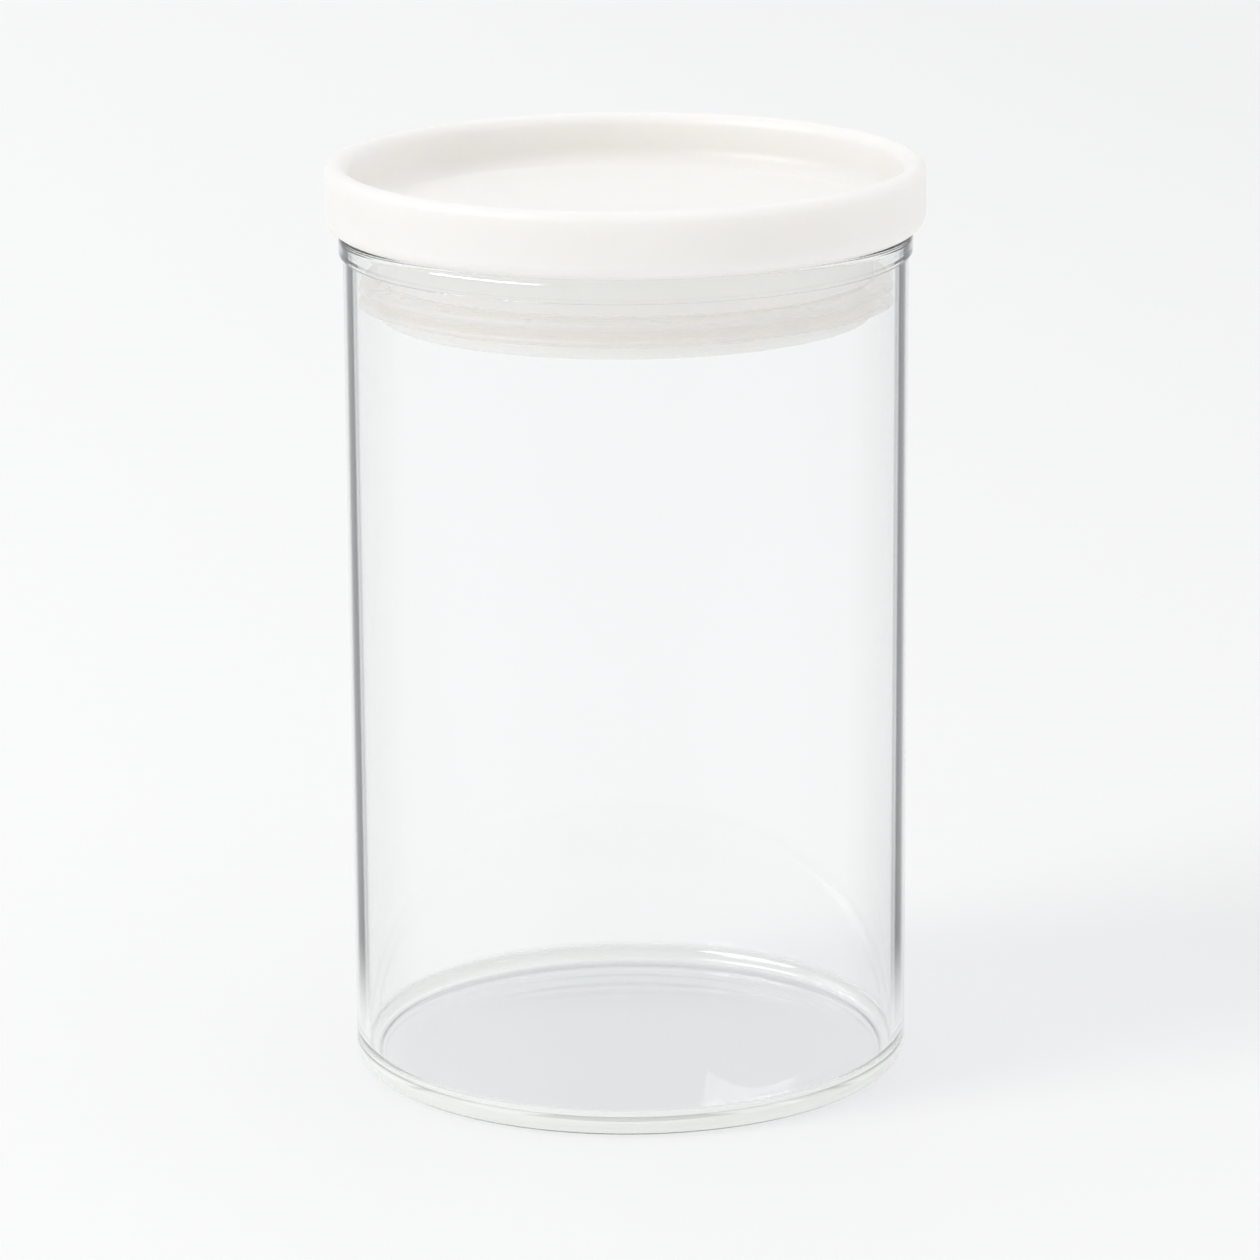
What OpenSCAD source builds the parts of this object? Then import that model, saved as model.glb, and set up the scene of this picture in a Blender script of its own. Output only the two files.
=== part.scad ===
// Lidded glass canister: a straight glass jar and a white plug lid with a soft seal.
// Every piece is a body of revolution about +Z. The origin is the middle of the jar's foot.

/* [Jar] */
// Outer diameter of the jar's straight wall
jar_d = 100; // [80:1:140]
// Height of the jar from its foot to the top of its rim
jar_h = 153; // [90:1:240]
// Thickness of the jar's wall
wall_t = 2.4; // [1.6:0.1:4]
// Thickness of the jar's floor at the foot ring
floor_t = 3; // [2:0.1:6]
// Radius of the rounded edge between wall and foot
foot_edge_r = 3.5; // [1:0.5:6]
// Radius of the inner corner between wall and floor
inner_corner_r = 3; // [1:0.5:6]
// Width of the flat ring that the jar stands on
foot_ring_w = 7; // [4:0.5:12]
// Rise of the hollowed underside at its middle
punt_rise = 0.8; // [0.2:0.1:1.5]
// How far the rim bead stands out of the wall
bead_out = 0.75; // [0.3:0.05:1.5]
// Height of the rim bead
bead_h = 4.2; // [3:0.1:8]

/* [Lid dish] */
// How far the lid stands out past the jar's wall
lid_overhang = 3; // [1.5:0.1:6]
// Height of the lid above the jar's rim
lid_h = 12; // [9:0.5:20]
// Width of the lip round the recess
lip_w = 3.9; // [3:0.1:6]
// Radius of the lip's outer top edge
lip_outer_r = 1.8; // [0.8:0.1:2.4]
// Thickness of the recess floor
dish_floor_t = 3; // [2:0.1:4]
// Radius of the corner between the recess's floor and its wall
recess_corner_r = 3; // [1:0.5:5]
// Radius of the lid's rounded lower edge
lid_edge_r = 3; // [1:0.5:4]

/* [Lid plug] */
// Gap between the plug and the jar's inner wall, which the seal bridges
plug_gap = 3.7; // [2.5:0.1:6]
// Depth of the plug below the jar's rim
plug_depth = 15; // [12:0.5:24]
// Thickness of the plug's wall
plug_wall_t = 2; // [1.5:0.1:3]
// Thickness of the plug's floor
plug_floor_t = 2; // [1.5:0.1:3]
// Radius of the plug's lower edge
plug_edge_r = 1.2; // [0.5:0.1:2]
// Thickness of the locating ring under the dish
spigot_t = 2; // [1.5:0.1:3]
// Gap between the locating ring's lower end and the step inside the plug
spigot_gap = 1.4; // [0.5:0.1:3]
// Gap between the locating ring and the plug's wall
spigot_clear = 0.1; // [0.05:0.05:0.3]

/* [Seal] */
// Height of the flange under the seal groove
seal_flange_h = 2.2; // [1.5:0.1:4]
// Height of the seal groove
groove_h = 5.4; // [4:0.1:7]
// Depth of the seal groove
groove_depth = 1.6; // [1:0.1:2.5]
// Thickness of each sealing fin
fin_t = 1.3; // [0.8:0.1:1.6]
// Number of sealing fins
fin_count = 2; // [1:1:3]
// Gap between the fins and the glass
fin_clear = 0.3; // [0.1:0.05:0.6]

/* [Hidden] */
$fn = 120;
// Overlap that keeps a cut or a joined shape clear of a shared edge
lap = 0.5;

jar_r = jar_d / 2;
bore_r = jar_r - wall_t;
bead_r = jar_r + bead_out;
bead_round_r = (bead_r - bore_r) / 2;
punt_r = jar_r - foot_edge_r - foot_ring_w;

rim_z = jar_h;
lid_r = jar_r + lid_overhang;
lip_inner_r = lip_w - lip_outer_r;
recess_r = lid_r - lip_w;
recess_z = rim_z + dish_floor_t;
lid_top_z = rim_z + lid_h;

plug_r = bore_r - plug_gap;
plug_z = rim_z - plug_depth;
groove_z = plug_z + seal_flange_h;
groove_top_z = groove_z + groove_h;
groove_r = plug_r - groove_depth;
plug_bore_r = plug_r - plug_wall_t;
plug_neck_r = groove_r - plug_wall_t;
plug_step_z = groove_top_z + plug_wall_t;
spigot_z = plug_step_z + spigot_gap;
spigot_r = plug_bore_r - spigot_clear;

fin_r = bore_r - fin_clear;
fin_first_z = groove_z + fin_t;
fin_pitch = (groove_h - 2 * fin_t) / max(fin_count - 1, 1);

// The sliver between a square corner and the arc that rounds it. The corner is at `at`,
// and `side` points from it to the middle of the arc.
module corner_sliver(at, r, side) {
    low_x = side.x > 0 ? -lap : -r;
    low_y = side.y > 0 ? -lap : -r;
    translate(at)
        difference() {
            translate([low_x, low_y])
                square(r + lap);
            translate([side.x * r, side.y * r])
                circle(r);
        }
}

// A flat band of a profile, from one radius to another and from one height to another
module band(r_in, r_out, z_low, z_high) {
    translate([r_in, z_low])
        square([r_out - r_in, z_high - z_low]);
}

// The rounded, slightly proud rim of the glass
module bead_profile() {
    low_z = rim_z - bead_h;
    band(bore_r, bead_r, low_z + bead_out, rim_z - bead_round_r);
    translate([bore_r + bead_round_r, rim_z - bead_round_r])
        circle(bead_round_r);
    translate([jar_r, low_z + bead_out])
        circle(bead_out);
}

// The inside of the jar, with its rounded floor corner
module jar_hollow_profile() {
    difference() {
        band(-lap, bore_r, floor_t, rim_z + lap);
        corner_sliver([bore_r, floor_t], inner_corner_r, [-1, 1]);
    }
}

// The shallow cone under the floor, which leaves a flat ring to stand on
module punt_profile() {
    polygon([[-lap, -lap], [punt_r + lap, -lap], [punt_r, 0], [0, punt_rise], [-lap, punt_rise]]);
}

module glass_jar() {
    color("lightcyan", 0.35)
        rotate_extrude()
            intersection() {
                difference() {
                    union() {
                        band(-lap, jar_r, 0, rim_z - bead_round_r);
                        bead_profile();
                    }
                    corner_sliver([jar_r, 0], foot_edge_r, [-1, 1]);
                    jar_hollow_profile();
                    punt_profile();
                }
                band(0, bead_r + lap, 0, rim_z);
            }
}

module lid_dish() {
    color("whitesmoke") {
        rotate_extrude()
            difference() {
                band(0, lid_r, rim_z, lid_top_z);
                corner_sliver([lid_r, rim_z], lid_edge_r, [-1, 1]);
                corner_sliver([lid_r, lid_top_z], lip_outer_r, [-1, -1]);
                corner_sliver([recess_r, lid_top_z], lip_inner_r, [1, -1]);
                difference() {
                    band(-lap, recess_r, recess_z, lid_top_z + lap);
                    corner_sliver([recess_r, recess_z], recess_corner_r, [-1, 1]);
                }
            }
        rotate_extrude()
            band(spigot_r - spigot_t, spigot_r, spigot_z, rim_z + lap);
    }
}

module lid_plug() {
    color("white")
        rotate_extrude()
            difference() {
                band(0, plug_r, plug_z, rim_z);
                corner_sliver([plug_r, plug_z], plug_edge_r, [-1, 1]);
                band(groove_r, plug_r + lap, groove_z, groove_top_z);
                band(-lap, plug_neck_r, plug_z + plug_floor_t, plug_step_z + lap);
                band(-lap, plug_bore_r, plug_step_z, rim_z + lap);
            }
}

// One sealing fin with a round tip, on the seal's outer face
module fin_profile(z) {
    tip_r = fin_t / 2;
    band(groove_r + lap, fin_r - tip_r, z - tip_r, z + tip_r);
    translate([fin_r - tip_r, z])
        circle(tip_r);
}

module seal_ring() {
    color("gainsboro", 0.7)
        rotate_extrude() {
            band(groove_r, plug_r, groove_z, groove_top_z);
            for (i = [0 : fin_count - 1])
                fin_profile(fin_first_z + i * fin_pitch);
        }
}

glass_jar();
lid_dish();
lid_plug();
seal_ring();
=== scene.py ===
"""Looks of a lidded glass canister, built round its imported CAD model.

The canister is a straight clear glass jar and a milky white lid, which is a dish with a cup
under it and a soft seal round the cup. Every piece is turned: an outline in the half plane of
radius and height is spun about the jar's axis by a Geometry Nodes tree. All sizes are in metres.
"""

import logging
import math
from dataclasses import dataclass, field
from enum import Enum
from typing import Any, Union

import bpy
from mathutils import Matrix, Vector


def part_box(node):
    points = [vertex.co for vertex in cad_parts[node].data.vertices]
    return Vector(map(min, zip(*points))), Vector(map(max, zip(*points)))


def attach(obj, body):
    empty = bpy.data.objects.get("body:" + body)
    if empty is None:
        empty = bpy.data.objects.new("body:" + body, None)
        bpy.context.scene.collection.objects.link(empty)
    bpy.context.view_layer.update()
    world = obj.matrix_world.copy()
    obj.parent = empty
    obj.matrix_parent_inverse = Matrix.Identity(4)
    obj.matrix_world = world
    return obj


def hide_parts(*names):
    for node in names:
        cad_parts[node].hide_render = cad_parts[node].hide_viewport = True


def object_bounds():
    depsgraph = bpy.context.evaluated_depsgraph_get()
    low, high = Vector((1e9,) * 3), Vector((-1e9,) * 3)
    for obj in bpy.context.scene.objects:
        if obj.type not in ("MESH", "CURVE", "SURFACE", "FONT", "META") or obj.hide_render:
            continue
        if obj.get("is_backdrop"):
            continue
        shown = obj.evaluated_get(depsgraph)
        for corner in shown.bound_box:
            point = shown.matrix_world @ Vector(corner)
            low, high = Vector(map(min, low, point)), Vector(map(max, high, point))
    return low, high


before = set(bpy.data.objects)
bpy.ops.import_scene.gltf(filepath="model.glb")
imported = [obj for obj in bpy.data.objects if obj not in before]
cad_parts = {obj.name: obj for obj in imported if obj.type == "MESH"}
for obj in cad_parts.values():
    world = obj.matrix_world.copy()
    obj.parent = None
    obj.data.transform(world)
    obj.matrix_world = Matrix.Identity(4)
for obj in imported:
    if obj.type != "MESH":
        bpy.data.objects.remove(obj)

log = logging.getLogger("canister")

Box = tuple[Vector, Vector]
Colour = tuple[float, float, float, float]
MM = 0.001

# An arc turns by about this many degrees at each step, in no fewer steps than this.
ARC_STEP = 7.5
ARC_FEWEST = 4
# Two arcs that share a side take this much of it, so that their ends never meet.
FULL_ROUND = 0.99
# A guard point stands this share of an arc's step from the arc's end, and no further than this.
# It is left out where the straight part beside the arc is shorter than this many times that.
GUARD_SHARE = 0.35
GUARD_MOST = 0.05 * MM
GUARD_ROOM = 3.0


class Slot(Enum):
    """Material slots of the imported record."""

    GLASS = "clear_glass"
    PLASTIC = "white_plastic"
    SEAL = "clear_seal"


class Body(Enum):
    """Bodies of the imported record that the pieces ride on."""

    JAR = "jar"
    LID = "lid"


# ---------------------------------------------------------------- node wiring


@dataclass
class Wire:
    """One output socket, with Python's operators adding Math nodes to its tree."""

    graph: "Graph"
    socket: bpy.types.NodeSocket

    def _math(self, operation: str, *values: Any) -> "Wire":
        """Adds one Math node.

        Args:
            operation: The Math node's operation.
            values: Its operands in order, as wires or numbers.

        Returns:
            The node's result.
        """
        sockets = dict(enumerate(values))
        return self.graph.add("ShaderNodeMath", {"operation": operation}, sockets)["Value"]

    def __add__(self, other: Any) -> "Wire":
        """Sum."""
        return self._math("ADD", self, other)

    def __radd__(self, other: Any) -> "Wire":
        """Sum with the number first."""
        return self._math("ADD", other, self)

    def __sub__(self, other: Any) -> "Wire":
        """Difference."""
        return self._math("SUBTRACT", self, other)

    def __rsub__(self, other: Any) -> "Wire":
        """Difference from a number."""
        return self._math("SUBTRACT", other, self)

    def __mul__(self, other: Any) -> "Wire":
        """Product."""
        return self._math("MULTIPLY", self, other)

    def __rmul__(self, other: Any) -> "Wire":
        """Product with the number first."""
        return self._math("MULTIPLY", other, self)

    def __truediv__(self, other: Any) -> "Wire":
        """Quotient."""
        return self._math("DIVIDE", self, other)

    def floor(self) -> "Wire":
        """Whole part."""
        return self._math("FLOOR", self)

    def cos(self) -> "Wire":
        """Cosine of an angle in radians."""
        return self._math("COSINE", self)

    def sin(self) -> "Wire":
        """Sine of an angle in radians."""
        return self._math("SINE", self)

    def above(self, low: float, high: float) -> "Wire":
        """Smooth step.

        Args:
            low: Value up to which the result is 0.
            high: Value from which the result is 1.

        Returns:
            A number from 0 to 1.
        """
        settings = {"interpolation_type": "SMOOTHSTEP"}
        sockets = {"Value": self, "From Min": low, "From Max": high}
        return self.graph.add("ShaderNodeMapRange", settings, sockets)["Result"]


@dataclass
class Made:
    """A node that was added, whose outputs are read by name."""

    graph: "Graph"
    node: bpy.types.Node

    def __getitem__(self, name: Union[str, int]) -> Wire:
        """The output of that name or place, as a wire."""
        return Wire(self.graph, self.node.outputs[name])


@dataclass
class Graph:
    """A node tree that is being wired."""

    tree: bpy.types.NodeTree

    def add(
        self,
        kind: str,
        settings: dict[str, Any] | None = None,
        sockets: dict[Union[str, int], Any] | None = None,
    ) -> Made:
        """Adds a node.

        Args:
            kind: The node's type.
            settings: Its properties, set before its sockets.
            sockets: Values or wires for its inputs, by name or place.

        Returns:
            The node, ready for its outputs to be read.
        """
        node = self.tree.nodes.new(kind)
        for name, value in (settings or {}).items():
            setattr(node, name, value)
        for name, value in (sockets or {}).items():
            if isinstance(value, Wire):
                self.tree.links.new(value.socket, node.inputs[name])
            else:
                node.inputs[name].default_value = value
        return Made(self, node)

    def mix(self, share: Any, first: Any, second: Any) -> Wire:
        """Mixes two colours.

        Args:
            share: How much of the second colour there is, from 0 to 1.
            first: Colour at share 0, as a wire or four numbers.
            second: Colour at share 1, as a wire or four numbers.

        Returns:
            The mixed colour.
        """
        sockets = {0: share, 6: first, 7: second}
        return self.add("ShaderNodeMix", {"data_type": "RGBA"}, sockets)[2]

    def ramp(self, value: Wire, stops: list[tuple[float, float]]) -> Wire:
        """Turns a number into a grey level by straight steps between stops.

        Args:
            value: The number, from 0 to 1.
            stops: Pairs of a number and its grey level, in rising order.

        Returns:
            The level.
        """
        made = self.add("ShaderNodeValToRGB", {}, {"Fac": value})
        elements = made.node.color_ramp.elements
        while len(elements) < len(stops):
            elements.new(1.0)
        for element, (place, level) in zip(elements, stops):
            element.position = place
            element.color = (level, level, level, 1.0)
        return made["Color"]

    def blend(self, share: Any, first: Wire, second: Wire) -> Wire:
        """Mixes two shaders.

        Args:
            share: How much of the second shader there is, from 0 to 1.
            first: Shader at share 0.
            second: Shader at share 1.

        Returns:
            The mixed shader.
        """
        return self.add("ShaderNodeMixShader", {}, {0: share, 1: first, 2: second})["Shader"]

    def clear(self, tint: Colour) -> Wire:
        """Transparent shader of one tint."""
        return self.add("ShaderNodeBsdfTransparent", {}, {"Color": tint})["BSDF"]

    def finish(self, surface: Wire) -> None:
        """Ends a material with its surface."""
        self.add("ShaderNodeOutputMaterial", {}, {"Surface": surface})

    def see_through(self, surface: Wire, lamp_side: Wire, room_side: Wire) -> Wire:
        """Lets the light of lamps and of the room straight through a clear surface.

        Args:
            surface: The shader that is seen.
            lamp_side: The transparent shader that lamps meet.
            room_side: The transparent shader that scattered light meets.

        Returns:
            The mixed shader.
        """
        path = self.add("ShaderNodeLightPath")
        return self.let_room_in(self.blend(path["Is Shadow Ray"], surface, lamp_side), room_side)

    def let_room_in(self, surface: Wire, room_side: Wire) -> Wire:
        """Lets scattered light straight through a surface.

        Args:
            surface: The shader that is seen.
            room_side: The transparent shader that scattered light meets.

        Returns:
            The mixed shader.
        """
        path = self.add("ShaderNodeLightPath")
        return self.blend(path["Is Diffuse Ray"], surface, room_side)

    def noise(self, place: Wire, scale: float, layers: float) -> Wire:
        """Smooth noise.

        Args:
            place: Where it is read.
            scale: Waves per metre.
            layers: How many finer layers it has.

        Returns:
            A number round 0.5.
        """
        sockets = {"Vector": place, "Scale": scale, "Detail": layers}
        return self.add("ShaderNodeTexNoise", {}, sockets)["Fac"]


def new_shader(name: str) -> tuple[bpy.types.Material, Graph]:
    """Starts an empty material.

    Args:
        name: The material's name.

    Returns:
        The material and its empty node graph.
    """
    material = bpy.data.materials.new(name)
    material.use_nodes = True
    material.node_tree.nodes.clear()
    return material, Graph(material.node_tree)


# ---------------------------------------------------------------- finishes


@dataclass(frozen=True)
class ClearGlass:
    """Clear heat-resistant glass with drawn ripples, with painted shade where it is seen edge on
    and a painted pale band of light on its foot.
    """

    name: str = "clear_glass"
    thin_tint: Colour = (0.985, 0.993, 0.991, 1.0)
    thick_tint: Colour = (0.965, 0.985, 0.975, 1.0)
    # Painted shade: a near-black tint and an opaque dark finish where the glass is seen edge on,
    # in place of dark surroundings seen in it.
    painted_edge_tint: Colour = (0.006, 0.009, 0.012, 1.0)
    edge_low: float = 6.0 * MM
    edge_high: float = 26.0 * MM
    painted_edge_solid_tint: Colour = (0.03, 0.036, 0.045, 1.0)
    painted_edge_solid_share: float = 0.28
    painted_edge_solid_rough: float = 0.4
    # Painted light: a pale green opaque band on the foot's outer skin, partly the glass's own tint
    # and partly standing in for light caught in the thick foot.
    painted_foot_light_tint: Colour = (0.92, 0.95, 0.905, 1.0)
    painted_foot_light_share: float = 0.75
    painted_foot_light_rough: float = 0.1
    foot_band: float = 6.0 * MM
    foot_solid: float = 0.6
    skin_blend: float = 0.2 * MM
    shade_tint: Colour = (0.74, 0.745, 0.775, 1.0)
    room_tint: Colour = (0.97, 0.97, 0.972, 1.0)
    refraction: float = 1.47
    ripple_scale: float = 26.0
    ripple_layers: float = 1.0
    ripple_stretch: float = 0.22
    ripple_depth: float = 0.02 * MM
    # How strong the painted edge shade is, by how edge on the surface is seen.
    painted_edge_stops: tuple[tuple[float, float], ...] = (
        (0.0, 0.0),
        (0.40, 0.0),
        (0.69, 0.15),
        (0.716, 0.62),
        (0.735, 0.45),
        (0.755, 0.98),
        (0.79, 0.985),
        (0.83, 0.96),
        (0.87, 0.40),
        (0.92, 0.0),
    )

    def build(self, rim_z: float, skin_r: float) -> bpy.types.Material:
        """Makes the material.

        Args:
            rim_z: Height of the rim, where the bead is thick too.
            skin_r: Distance from the axis past which the surface is the outer skin.

        Returns:
            The glass material.
        """
        material, graph = new_shader(self.name)
        place = graph.add("ShaderNodeTexCoord")["Object"]
        split = graph.add("ShaderNodeSeparateXYZ", {}, {0: place})
        height = split["Z"]
        inside_r = skin_r - self.skin_blend
        outside = (split["X"] * split["X"] + split["Y"] * split["Y"]).above(inside_r**2, skin_r**2)
        at_foot = 1.0 - height.above(0.0, self.foot_band)
        at_bead = height.above(rim_z - self.foot_band, rim_z)
        tint = graph.mix(at_foot + at_bead, self.thin_tint, self.thick_tint)
        # Painted shade on the outer skin where the glass is seen edge on.
        edge = self.edge_on(graph, height) * outside
        glass = graph.add(
            "ShaderNodeBsdfPrincipled",
            {},
            {
                "Base Color": graph.mix(edge, tint, self.painted_edge_tint),
                "Roughness": 0.0,
                "IOR": self.refraction,
                "Transmission Weight": 1.0,
                "Normal": self.ripples(graph, place),
            },
        )["BSDF"]
        # Painted shade: the opaque dark finish blended in at the edges.
        painted_edge_solid = self.solid(graph, self.painted_edge_solid_tint, self.painted_edge_solid_rough)
        glass = graph.blend(self.painted_edge_solid_share * edge, glass, painted_edge_solid)
        # Painted light: the pale opaque band low on the foot's outer skin.
        low = 1.0 - height.above(self.foot_solid * self.foot_band, self.foot_band)
        foot = self.solid(graph, self.painted_foot_light_tint, self.painted_foot_light_rough)
        body = graph.blend(self.painted_foot_light_share * (low * outside), glass, foot)
        lamps, room = graph.clear(self.shade_tint), graph.clear(self.room_tint)
        graph.finish(graph.see_through(body, lamps, room))
        return material

    def edge_on(self, graph: Graph, height: Wire) -> Wire:
        """Works out how much painted shade the edge has, by how edge on the surface is seen.

        Args:
            graph: The material's graph.
            height: Height above the foot.

        Returns:
            A number from 0 to 1, which is 0 near the foot.
        """
        facing = graph.add("ShaderNodeLayerWeight", {}, {"Blend": 0.5})["Facing"]
        rise = height.above(self.edge_low, self.edge_high)
        return graph.ramp(facing, list(self.painted_edge_stops)) * rise

    def ripples(self, graph: Graph, place: Wire) -> Wire:
        """Makes the long low ripples of drawn glass.

        Args:
            graph: The material's graph.
            place: Where the ripples are read.

        Returns:
            The surface's normal.
        """
        stretch = {0: place, 1: (1.0, 1.0, self.ripple_stretch)}
        drawn = graph.add("ShaderNodeVectorMath", {"operation": "MULTIPLY"}, stretch)["Vector"]
        ripple = graph.noise(drawn, self.ripple_scale, self.ripple_layers)
        bump = {"Height": ripple, "Distance": self.ripple_depth, "Strength": 1.0}
        return graph.add("ShaderNodeBump", {}, bump)["Normal"]

    def solid(self, graph: Graph, tint: Colour, roughness: float) -> Wire:
        """Makes a plain opaque finish of painted light or shade: the dark one at the edges and the
        pale one that stands for light caught in the thick foot.

        Args:
            graph: The material's graph.
            tint: Its colour.
            roughness: Its roughness.

        Returns:
            The shader.
        """
        sockets = {"Base Color": tint, "Roughness": roughness, "IOR": self.refraction}
        return graph.add("ShaderNodeBsdfPrincipled", {}, sockets)["BSDF"]


@dataclass(frozen=True)
class MilkyPlastic:
    """Milky white moulded plastic, satin, which lets a little light into its skin."""

    name: str = "milky_plastic"
    pale: Colour = (0.893, 0.886, 0.866, 1.0)
    dull: Colour = (0.878, 0.869, 0.846, 1.0)
    room_tint: Colour = (0.988, 0.983, 0.975, 1.0)
    cloud_scale: float = 34.0
    cloud_layers: float = 3.0
    cloud_range: tuple[float, float] = (0.35, 0.7)
    grain_scale: float = 1500.0
    grain_layers: float = 2.0
    grain_depth: float = 0.012 * MM
    grain_strength: float = 0.6
    grain_share: float = 0.6
    smooth: float = 0.30
    rough: float = 0.42
    refraction: float = 1.49
    gloss: float = 0.2
    glow: tuple[float, float, float] = (1.0, 0.93, 0.85)
    glow_depth: float = 2.5 * MM

    def build(self) -> bpy.types.Material:
        """Makes the material.

        Returns:
            The plastic of the dish and the cup.
        """
        material, graph = new_shader(self.name)
        place = graph.add("ShaderNodeTexCoord")["Object"]
        cloud = graph.noise(place, self.cloud_scale, self.cloud_layers)
        grain = graph.noise(place, self.grain_scale, self.grain_layers)
        colour = graph.mix(cloud.above(*self.cloud_range), self.pale, self.dull)
        mottle = self.grain_share * grain + (1.0 - self.grain_share) * cloud
        roughness = self.smooth + (self.rough - self.smooth) * mottle
        bump = {"Height": grain, "Distance": self.grain_depth, "Strength": self.grain_strength}
        normal = graph.add("ShaderNodeBump", {}, bump)["Normal"]
        surface = graph.add(
            "ShaderNodeBsdfPrincipled",
            {},
            {
                "Base Color": colour,
                "Roughness": roughness,
                "IOR": self.refraction,
                "Specular IOR Level": self.gloss,
                "Subsurface Weight": 1.0,
                "Subsurface Radius": self.glow,
                "Subsurface Scale": self.glow_depth,
                "Normal": normal,
            },
        )["BSDF"]
        graph.finish(graph.let_room_in(surface, graph.clear(self.room_tint)))
        return material


@dataclass(frozen=True)
class SoftSilicone:
    """Translucent silicone with a faint bloom on its skin."""

    name: str = "soft_silicone"
    clear: Colour = (0.96, 0.948, 0.93, 1.0)
    bloom: Colour = (0.935, 0.922, 0.904, 1.0)
    lamp_tint: Colour = (0.965, 0.955, 0.94, 1.0)
    thinness: float = 0.5
    bloom_scale: float = 120.0
    bloom_layers: float = 3.0
    bloom_range: tuple[float, float] = (0.4, 0.75)
    smooth: float = 0.22
    rough: float = 0.36
    refraction: float = 1.41
    gloss: float = 0.25

    def build(self) -> bpy.types.Material:
        """Makes the material.

        Returns:
            The silicone of the seal.
        """
        material, graph = new_shader(self.name)
        place = graph.add("ShaderNodeTexCoord")["Object"]
        bloom = graph.noise(place, self.bloom_scale, self.bloom_layers)
        colour = graph.mix(bloom.above(*self.bloom_range), self.clear, self.bloom)
        roughness = self.smooth + (self.rough - self.smooth) * bloom
        rubber = graph.add(
            "ShaderNodeBsdfPrincipled",
            {},
            {
                "Base Color": colour,
                "Roughness": roughness,
                "IOR": self.refraction,
                "Specular IOR Level": self.gloss,
            },
        )["BSDF"]
        lit = graph.clear(self.lamp_tint)
        body = graph.blend(self.thinness, rubber, graph.clear(self.lamp_tint))
        graph.finish(graph.see_through(body, lit, lit))
        return material


@dataclass(frozen=True)
class PaleTable:
    """Smooth pale table top, with a faint sheen and no visible pattern, and painted shade that
    darkens it slowly to the right and towards the back.
    """

    name: str = "pale_table"
    # Painted shade: the colour goes from near to far across the table, standing in for light that
    # falls off to the right and towards the back.
    near: Colour = (0.965, 0.965, 0.965, 1.0)
    far: Colour = (0.885, 0.885, 0.888, 1.0)
    near_x: float = -0.13
    far_x: float = 0.5
    slant: float = 0.25
    # Noise that wobbles the painted shade.
    painted_shade_wobble: float = 0.06
    cloud_scale: float = 4.0
    cloud_layers: float = 2.0
    smooth: float = 0.5
    rough: float = 0.6
    gloss: float = 0.15

    def build(self) -> bpy.types.Material:
        """Makes the material.

        Returns:
            The table's finish, whose painted shade darkens it slowly to the right.
        """
        material, graph = new_shader(self.name)
        place = graph.add("ShaderNodeTexCoord")["Object"]
        split = graph.add("ShaderNodeSeparateXYZ", {}, {0: place})
        cloud = graph.noise(place, self.cloud_scale, self.cloud_layers)
        # Painted shade: how far along the darkening this point lies.
        lean = split["X"] + self.slant * split["Y"] + self.painted_shade_wobble * (cloud - 0.5)
        sockets = {"Value": lean, "From Min": self.near_x, "From Max": self.far_x}
        share = graph.add("ShaderNodeMapRange", {}, sockets)["Result"]
        surface = graph.add(
            "ShaderNodeBsdfPrincipled",
            {},
            {
                "Base Color": graph.mix(share, self.near, self.far),
                "Roughness": self.smooth + (self.rough - self.smooth) * cloud,
                "Specular IOR Level": self.gloss,
            },
        )["BSDF"]
        graph.finish(surface)
        return material


# ---------------------------------------------------------------- turned pieces


@dataclass
class Outline:
    """Half section of a turned piece, as corners that are rounded one by one.

    The corners run so that the outer wall goes up: from the middle of the underside outwards,
    up the outside, and back over the top.
    """

    closed: bool = False
    corners: list[tuple[float, float, float]] = field(default_factory=list)

    def to(self, radius: float, height: float, rounding: float = 0.0) -> "Outline":
        """Adds a corner.

        Args:
            radius: Distance from the axis.
            height: Height above the foot.
            rounding: Radius of the arc that rounds the corner.

        Returns:
            The outline itself, so that corners can be chained.
        """
        self.corners.append((radius, height, rounding))
        return self

    def spot(self, place: int) -> Vector:
        """Where a corner is, counted round the outline."""
        radius, height, _ = self.corners[place % len(self.corners)]
        return Vector((radius, 0.0, height))

    def reach(self, place: int) -> float:
        """Works out how far a corner's arc reaches along its sides.

        Args:
            place: The corner's number, counted round the outline.

        Returns:
            The distance from the corner to either end of its arc, or 0 where it stays sharp.
        """
        count = len(self.corners)
        rounding = self.corners[place % count][2]
        if rounding == 0.0 or (not self.closed and place % count in (0, count - 1)):
            return 0.0
        here = self.spot(place)
        half = (self.spot(place - 1) - here).angle(self.spot(place + 1) - here) / 2.0
        return rounding / math.tan(half)

    def straight(self, place: int) -> float:
        """Length of the straight part between a corner and the next one."""
        whole = (self.spot(place + 1) - self.spot(place)).length
        return whole - self.reach(place) - self.reach(place + 1)

    def points(self) -> list[Vector]:
        """Works out the outline's points.

        Returns:
            Points with the radius in x and the height in z. A closed outline repeats its first.
        """
        made: list[Vector] = []
        for place in range(len(self.corners)):
            reach = self.reach(place)
            if reach == 0.0:
                made.append(self.spot(place))
                continue
            sides = (self.spot(place - 1), self.spot(place + 1))
            room = (self.straight(place - 1), self.straight(place))
            made += rounded_corner(self.spot(place), sides, reach, room)
        if self.closed:
            made.append(made[0].copy())
        return made


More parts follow.
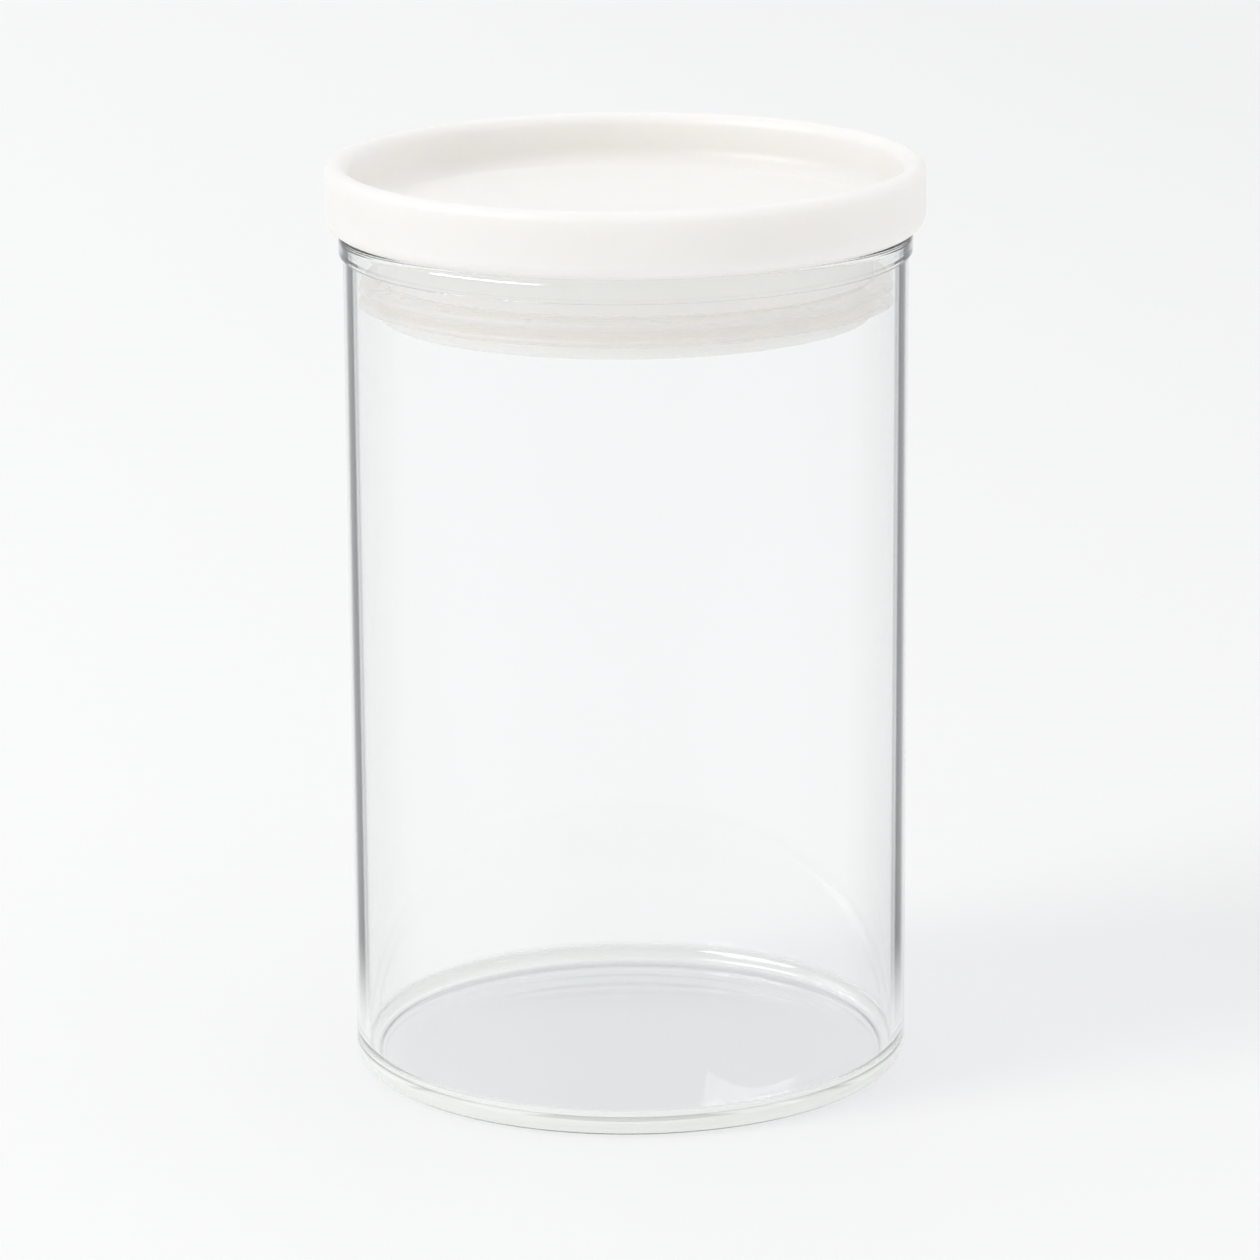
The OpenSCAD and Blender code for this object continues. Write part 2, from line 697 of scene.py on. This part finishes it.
def rounded_corner(
    here: Vector, sides: tuple[Vector, Vector], reach: float, room: tuple[float, float]
) -> list[Vector]:
    """Replaces a corner by an arc, with a guard point on each side that keeps flats flat.

    Args:
        here: The corner to round.
        sides: The corners before and after it.
        reach: How far the arc reaches along both sides.
        room: Lengths of the straight parts before and after the arc.

    Returns:
        The arc's points, with a guard point on each side that has room for one.
    """
    back = (sides[0] - here).normalized()
    ahead = (sides[1] - here).normalized()
    half = back.angle(ahead) / 2.0
    radius = reach * math.tan(half)
    turn = math.pi - 2.0 * half
    steps = max(ARC_FEWEST, round(math.degrees(turn) / ARC_STEP))
    middle = here + (back + ahead).normalized() * (radius / math.sin(half))
    start, end = here + back * reach, here + ahead * reach
    first = start - middle
    normal = first.cross(end - middle).normalized()
    guard = min(GUARD_SHARE * radius * turn / steps, GUARD_MOST)
    made = [
        middle + Matrix.Rotation(turn * step / steps, 3, normal) @ first
        for step in range(steps + 1)
    ]
    if room[0] > GUARD_ROOM * guard:
        made.insert(0, start + back * guard)
    if room[1] > GUARD_ROOM * guard:
        made.append(end + ahead * guard)
    return made


@dataclass
class Lathe:
    """Geometry Nodes tree that spins an outline about the Z axis."""

    name: str = "turn_outline"
    seam_gap: float = 0.002 * MM
    sockets: dict[str, str] = field(default_factory=dict)
    tree: bpy.types.NodeTree | None = None

    def name_inputs(self) -> None:
        """Gives the tree its named inputs and its output."""
        wanted = {
            "Geometry": "NodeSocketGeometry",
            "Outline Points": "NodeSocketInt",
            "Turn Steps": "NodeSocketInt",
            "Seam Gap": "NodeSocketFloat",
            "Finish": "NodeSocketMaterial",
        }
        for name, kind in wanted.items():
            made = self.tree.interface.new_socket(name=name, in_out="INPUT", socket_type=kind)
            self.sockets[name] = made.identifier
        self.tree.interface.new_socket(
            name="Geometry", in_out="OUTPUT", socket_type="NodeSocketGeometry"
        )

    def build(self) -> "Lathe":
        """Builds the tree once.

        Returns:
            The lathe itself.
        """
        self.tree = bpy.data.node_groups.new(self.name, "GeometryNodeTree")
        self.name_inputs()
        graph = Graph(self.tree)
        given = graph.add("NodeGroupInput")
        points, steps = given["Outline Points"], given["Turn Steps"]
        grid = graph.add(
            "GeometryNodeMeshGrid",
            {},
            {"Size X": 1.0, "Size Y": 1.0, "Vertices X": steps + 1, "Vertices Y": points},
        )["Mesh"]
        index = graph.add("GeometryNodeInputIndex")["Index"]
        column = ((index + 0.5) / points).floor()
        row = index - column * points
        place = graph.add("GeometryNodeInputPosition")["Position"]
        sampled = graph.add(
            "GeometryNodeSampleIndex",
            {"data_type": "FLOAT_VECTOR", "domain": "POINT"},
            {"Geometry": given["Geometry"], "Value": place, "Index": row},
        )["Value"]
        split = graph.add("ShaderNodeSeparateXYZ", {}, {0: sampled})
        angle = column * (2.0 * math.pi) / steps
        turned = graph.add(
            "ShaderNodeCombineXYZ",
            {},
            {"X": split["X"] * angle.cos(), "Y": split["X"] * angle.sin(), "Z": split["Z"]},
        )["Vector"]
        moved = graph.add("GeometryNodeSetPosition", {}, {"Geometry": grid, "Position": turned})
        merged = graph.add(
            "GeometryNodeMergeByDistance",
            {},
            {"Geometry": moved["Geometry"], "Distance": given["Seam Gap"]},
        )
        smooth = graph.add("GeometryNodeSetShadeSmooth", {}, {0: merged["Geometry"]})
        real = graph.add("GeometryNodeRealizeInstances", {}, {0: smooth[0]})
        dressed = graph.add(
            "GeometryNodeSetMaterial", {}, {"Geometry": real[0], "Material": given["Finish"]}
        )
        graph.add("NodeGroupOutput", {}, {0: dressed[0]})
        return self

    def turn(
        self, name: str, outline: Outline, finish: bpy.types.Material, steps: int
    ) -> bpy.types.Object:
        """Spins one outline into a plain mesh object.

        Args:
            name: The piece's name.
            outline: Its half section.
            finish: Its material.
            steps: How many steps there are round the axis.

        Returns:
            The piece, at the origin, with no modifier left on it.
        """
        points = outline.points()
        mesh = bpy.data.meshes.new(name)
        links = [(i, i + 1) for i in range(len(points) - 1)]
        mesh.from_pydata([tuple(p) for p in points], links, [])
        piece = bpy.data.objects.new(name, mesh)
        spin = piece.modifiers.new("turn", "NODES")
        spin.node_group = self.tree
        spin[self.sockets["Outline Points"]] = len(points)
        spin[self.sockets["Turn Steps"]] = steps
        spin[self.sockets["Seam Gap"]] = self.seam_gap
        spin[self.sockets["Finish"]] = finish
        bpy.context.scene.collection.objects.link(piece)
        seen = piece.evaluated_get(bpy.context.evaluated_depsgraph_get())
        turned = bpy.data.meshes.new_from_object(seen)
        turned.name = name
        piece.modifiers.clear()
        piece.data = turned
        return piece


def install(piece: bpy.types.Object, body: Body, slot: Slot, *nodes: str) -> None:
    """Ties a piece to its body and hides the CAD nodes that it stands for.

    Args:
        piece: The finished piece.
        body: The body that it rides on.
        slot: The material slot of the piece's finish; not used.
        nodes: The CAD nodes that it replaces.
    """
    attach(piece, body.value)
    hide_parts(*nodes)
    log.info("%s: %d faces, for %s", piece.name, len(piece.data.polygons), ", ".join(nodes))


@dataclass
class Jar:
    """The glass jar. Its height and its bead come from the frame."""

    wall: float = 2.4 * MM
    floor: float = 3.0 * MM
    bead_out: float = 0.75 * MM
    bead_height: float = 4.2 * MM
    bead_hollow: float = 0.3 * MM
    bead_edge: float = 0.44 * MM
    foot_edge: float = 3.5 * MM
    inner_corner: float = 3.0 * MM
    foot_ring: float = 7.0 * MM
    punt_rise: float = 0.8 * MM
    punt_edge: float = 30.0 * MM
    steps: int = 360
    node: str = "glass_jar"

    def rim_and_skin(self) -> tuple[float, float]:
        """Finds where the finish changes.

        Returns:
            The height of the rim and a radius just inside the wall's outer skin.
        """
        low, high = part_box(self.node)
        outer = (high[0] - low[0]) / 2.0 - self.bead_out
        return high[2], outer - self.wall / 2.0

    def outline(self) -> Outline:
        """Draws the half section of the glass.

        Returns:
            The outline, from the middle of the underside to the middle of the floor.
        """
        low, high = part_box(self.node)
        bead = (high[0] - low[0]) / 2.0
        rim = high[2]
        outer = bead - self.bead_out
        bore = outer - self.wall
        rim_round = (bead - bore) / 2.0
        shoulder = rim - self.bead_height
        punt = outer - self.foot_edge - self.foot_ring
        return (
            Outline()
            .to(0.0, low[2] + self.punt_rise)
            .to(punt, low[2], self.punt_edge)
            .to(outer, low[2], self.foot_edge)
            .to(outer, shoulder, self.bead_hollow)
            .to(bead, shoulder, self.bead_edge)
            .to(bead, rim, rim_round * FULL_ROUND)
            .to(bore, rim, rim_round * FULL_ROUND)
            .to(bore, low[2] + self.floor, self.inner_corner)
            .to(0.0, low[2] + self.floor)
        )

    def build(self, lathe: Lathe, finish: bpy.types.Material) -> None:
        """Turns the jar and ties it to its body.

        Args:
            lathe: The lathe that turns it.
            finish: Its glass.
        """
        piece = lathe.turn("jar_glass", self.outline(), finish, self.steps)
        install(piece, Body.JAR, Slot.GLASS, self.node)


@dataclass
class Lid:
    """The lid: a dish, the cup under it and the seal round the cup."""

    lip_width: float = 3.9 * MM
    lip_outer: float = 1.8 * MM
    dish_floor: float = 3.0 * MM
    recess_corner: float = 3.0 * MM
    lower_edge: float = 3.0 * MM
    cup_wall: float = 2.0 * MM
    cup_floor: float = 2.0 * MM
    cup_edge: float = 1.2 * MM
    spigot: float = 2.0 * MM
    spigot_gap: float = 0.1 * MM
    flange: float = 2.2 * MM
    groove: float = 5.4 * MM
    groove_depth: float = 1.6 * MM
    fin: float = 1.3 * MM
    fin_count: int = 2
    gate_mark: float = 2.5 * MM
    crisp: float = 0.25 * MM
    steps: int = 256

    def dish_outline(self) -> Outline:
        """Draws the half section of the dish, with the ring that locates the cup.

        Returns:
            The outline, from the middle of the underside to the middle of the recess.
        """
        low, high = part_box("lid_dish")
        cup_low, cup_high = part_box("lid_plug")
        outer = (high[0] - low[0]) / 2.0
        under = cup_high[2]
        ring = (cup_high[0] - cup_low[0]) / 2.0 - self.cup_wall - self.spigot_gap
        recess = outer - self.lip_width
        lip_inner = self.lip_width - self.lip_outer
        return (
            Outline()
            .to(0.0, under)
            .to(ring - self.spigot, under, self.crisp)
            .to(ring - self.spigot, low[2], self.crisp)
            .to(ring, low[2], self.crisp)
            .to(ring, under, self.crisp)
            .to(outer, under, self.lower_edge)
            .to(outer, high[2], self.lip_outer)
            .to(recess, high[2], lip_inner * FULL_ROUND)
            .to(recess, under + self.dish_floor, self.recess_corner)
            .to(0.0, under + self.dish_floor)
        )

    def cup_outline(self) -> Outline:
        """Draws the half section of the cup, with its seal groove and gate mark.

        Returns:
            The outline, from the middle of the underside to the middle of the inside.
        """
        low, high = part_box("lid_plug")
        outer = (high[0] - low[0]) / 2.0
        groove = outer - self.groove_depth
        groove_low = low[2] + self.flange
        groove_high = groove_low + self.groove
        neck = groove - self.cup_wall
        step = groove_high + self.cup_wall
        return (
            Outline()
            .to(0.0, low[2] + self.crisp)
            .to(self.gate_mark, low[2] + self.crisp, self.crisp)
            .to(self.gate_mark + self.crisp, low[2], self.crisp)
            .to(outer, low[2], self.cup_edge)
            .to(outer, groove_low, self.crisp)
            .to(groove, groove_low, self.crisp)
            .to(groove, groove_high, self.crisp)
            .to(outer, groove_high, self.crisp)
            .to(outer, high[2], self.crisp)
            .to(outer - self.cup_wall, high[2], self.crisp)
            .to(outer - self.cup_wall, step, self.crisp)
            .to(neck, step, self.crisp)
            .to(neck, low[2] + self.cup_floor, self.crisp)
            .to(0.0, low[2] + self.cup_floor)
        )

    def seal_outline(self) -> Outline:
        """Draws the closed section of the seal, fin by fin.

        Returns:
            The outline, from the groove's lower corner round to its upper one.
        """
        low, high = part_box("seal_ring")
        cup_low, cup_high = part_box("lid_plug")
        tip = (high[0] - low[0]) / 2.0
        skin = (cup_high[0] - cup_low[0]) / 2.0
        root = skin - self.groove_depth
        fin_round = self.fin / 2.0 * FULL_ROUND
        pitch = (self.groove - 2.0 * self.fin) / max(self.fin_count - 1, 1)
        section = Outline(closed=True).to(root, low[2], self.crisp).to(skin, low[2], self.crisp)
        for count in range(self.fin_count):
            middle = low[2] + self.fin + count * pitch
            under, over = middle - self.fin / 2.0, middle + self.fin / 2.0
            section.to(skin, under, self.crisp)
            section.to(tip, under, fin_round)
            section.to(tip, over, fin_round)
            section.to(skin, over, self.crisp)
        return section.to(skin, high[2], self.crisp).to(root, high[2], self.crisp)

    def build(self, lathe: Lathe, plastic: bpy.types.Material, soft: bpy.types.Material) -> None:
        """Turns the lid's pieces and ties them to their body.

        Args:
            lathe: The lathe that turns them.
            plastic: Finish of the dish and the cup.
            soft: Finish of the seal.
        """
        dish = lathe.turn("lid_dish_shell", self.dish_outline(), plastic, self.steps)
        install(dish, Body.LID, Slot.PLASTIC, "lid_dish")
        cup = lathe.turn("lid_cup", self.cup_outline(), plastic, self.steps)
        install(cup, Body.LID, Slot.PLASTIC, "lid_plug")
        seal = lathe.turn("lid_seal", self.seal_outline(), soft, self.steps)
        install(seal, Body.LID, Slot.SEAL, "seal_ring")


# ---------------------------------------------------------------- studio


@dataclass
class Studio:
    """Pale table, soft lights and the camera. Angles are in degrees."""

    elevation: float = 14.41
    distance: float = 1.056
    lens: float = 167.8
    roll: float = -0.337
    aim_drop: float = 3.2 * MM
    aim_side: float = 0.35 * MM
    table_size: float = 40.0
    table_drop: float = 0.05 * MM
    key_side: float = 65.0
    key_height: float = 40.0
    key_spread: float = 24.0
    key_power: float = 0.60
    key_tint: tuple[float, float, float] = (1.0, 0.998, 0.992)
    panel_size: tuple[float, float] = (1.3, 0.45)
    panel_power: float = 20.0
    panel_side: float = 62.0
    panel_height: float = 29.0
    panel_reach: float = 1.5
    panel_aim: float = 0.15
    room_power: float = 0.925
    room_tint: Colour = (0.99, 0.993, 1.0, 1.0)
    room_base: float = 0.83
    room_overhead: float = 0.25
    room_sides: float = 0.09
    room_slant: float = 0.08
    light_bounces: int = 32
    dull_bounces: int = 8

    def build_table(self) -> None:
        """Lays the pale table."""
        half, low = self.table_size / 2.0, -self.table_drop
        corners = [(-half, -half, low), (half, -half, low), (half, half, low), (-half, half, low)]
        mesh = bpy.data.meshes.new("table")
        mesh.from_pydata(corners, [], [(0, 1, 2, 3)])
        mesh.materials.append(PaleTable().build())
        table = bpy.data.objects.new("table", mesh)
        bpy.context.scene.collection.objects.link(table)
        table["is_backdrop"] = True

    def toward(self, side: float, height: float) -> Vector:
        """Points at a light from the canister.

        Args:
            side: How far to the left of the front it hangs, in degrees.
            height: How far above the table it hangs, in degrees.

        Returns:
            A vector of length 1.
        """
        turn, up = math.radians(side), math.radians(height)
        flat = math.cos(up)
        return Vector((-flat * math.sin(turn), -flat * math.cos(turn), math.sin(up)))

    def hang_key(self) -> None:
        """Hangs the broad key light, which throws the soft shadow."""
        data = bpy.data.lights.new("key", "SUN")
        data.energy = self.key_power
        data.angle = math.radians(self.key_spread)
        data.color = self.key_tint
        key = bpy.data.objects.new("key", data)
        out = self.toward(self.key_side, self.key_height)
        key.rotation_mode = "QUATERNION"
        key.rotation_quaternion = (-out).to_track_quat("-Z", "Y")
        bpy.context.scene.collection.objects.link(key)

    def hang_panel(self) -> None:
        """Hangs the panel that only shows as streaks in the glass and on the lid."""
        data = bpy.data.lights.new("panel", "AREA")
        data.shape = "RECTANGLE"
        data.size, data.size_y = self.panel_size
        data.energy = self.panel_power
        panel = bpy.data.objects.new("panel", data)
        out = self.toward(self.panel_side, self.panel_height)
        turn = (-out).to_track_quat("-Z", "Y").to_matrix().to_4x4()
        middle = Vector((0.0, 0.0, self.panel_aim)) + out * self.panel_reach
        panel.matrix_world = Matrix.Translation(middle) @ turn
        panel.visible_diffuse = False
        bpy.context.scene.collection.objects.link(panel)

    def fill_room(self) -> None:
        """Fills the room with pale light, a little stronger overhead and to the right."""
        world = bpy.data.worlds.new("room")
        world.use_nodes = True
        world.node_tree.nodes.clear()
        graph = Graph(world.node_tree)
        place = graph.add("ShaderNodeTexCoord")["Generated"]
        split = graph.add("ShaderNodeSeparateXYZ", {}, {0: place})
        sideways = split["X"] * split["X"]
        overhead = split["Z"] * split["Z"]
        tone = self.room_base + self.room_overhead * overhead + self.room_sides * sideways
        tone = tone + self.room_slant * split["X"]
        sockets = {"Color": self.room_tint, "Strength": self.room_power * tone}
        air = graph.add("ShaderNodeBackground", {}, sockets)["Background"]
        graph.add("ShaderNodeOutputWorld", {}, {"Surface": air})
        bpy.context.scene.world = world

    def build_camera(self, box: Box) -> None:
        """Sets up the camera.

        Args:
            box: The canister's lowest and highest corners.
        """
        middle = (Vector(box[0]) + Vector(box[1])) / 2.0
        aim = Vector((self.aim_side, 0.0, middle.z - self.aim_drop))
        tilt, roll = math.radians(self.elevation), math.radians(self.roll)
        ahead = Vector((0.0, math.cos(tilt), -math.sin(tilt)))
        level = Vector((1.0, 0.0, 0.0))
        above = level.cross(ahead)
        right = level * math.cos(roll) + above * math.sin(roll)
        up = above * math.cos(roll) - level * math.sin(roll)
        data = bpy.data.cameras.new("camera")
        data.lens = self.lens
        camera = bpy.data.objects.new("camera", data)
        axes = Matrix((right, up, -ahead)).transposed().to_4x4()
        camera.matrix_world = Matrix.Translation(aim - ahead * self.distance) @ axes
        bpy.context.scene.collection.objects.link(camera)
        bpy.context.scene.camera = camera

    def build(self, box: Box) -> None:
        """Builds the whole studio.

        Args:
            box: The canister's lowest and highest corners.
        """
        self.build_camera(box)
        self.build_table()
        self.hang_key()
        self.hang_panel()
        self.fill_room()
        scene = bpy.context.scene
        scene.view_settings.view_transform = "Standard"
        scene.cycles.max_bounces = self.light_bounces
        scene.cycles.transmission_bounces = self.light_bounces
        scene.cycles.glossy_bounces = self.dull_bounces
        scene.cycles.diffuse_bounces = self.dull_bounces
        scene.cycles.transparent_max_bounces = self.light_bounces


def main() -> None:
    """Builds the canister and its studio."""
    logging.basicConfig(level=logging.INFO, format="%(name)s: %(message)s")
    cad_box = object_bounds()
    Studio().build(cad_box)
    lathe = Lathe().build()
    jar = Jar()
    rim_z, skin_r = jar.rim_and_skin()
    jar.build(lathe, ClearGlass().build(rim_z, skin_r))
    Lid().build(lathe, MilkyPlastic().build(), SoftSilicone().build())


if __name__ == "__main__":
    main()
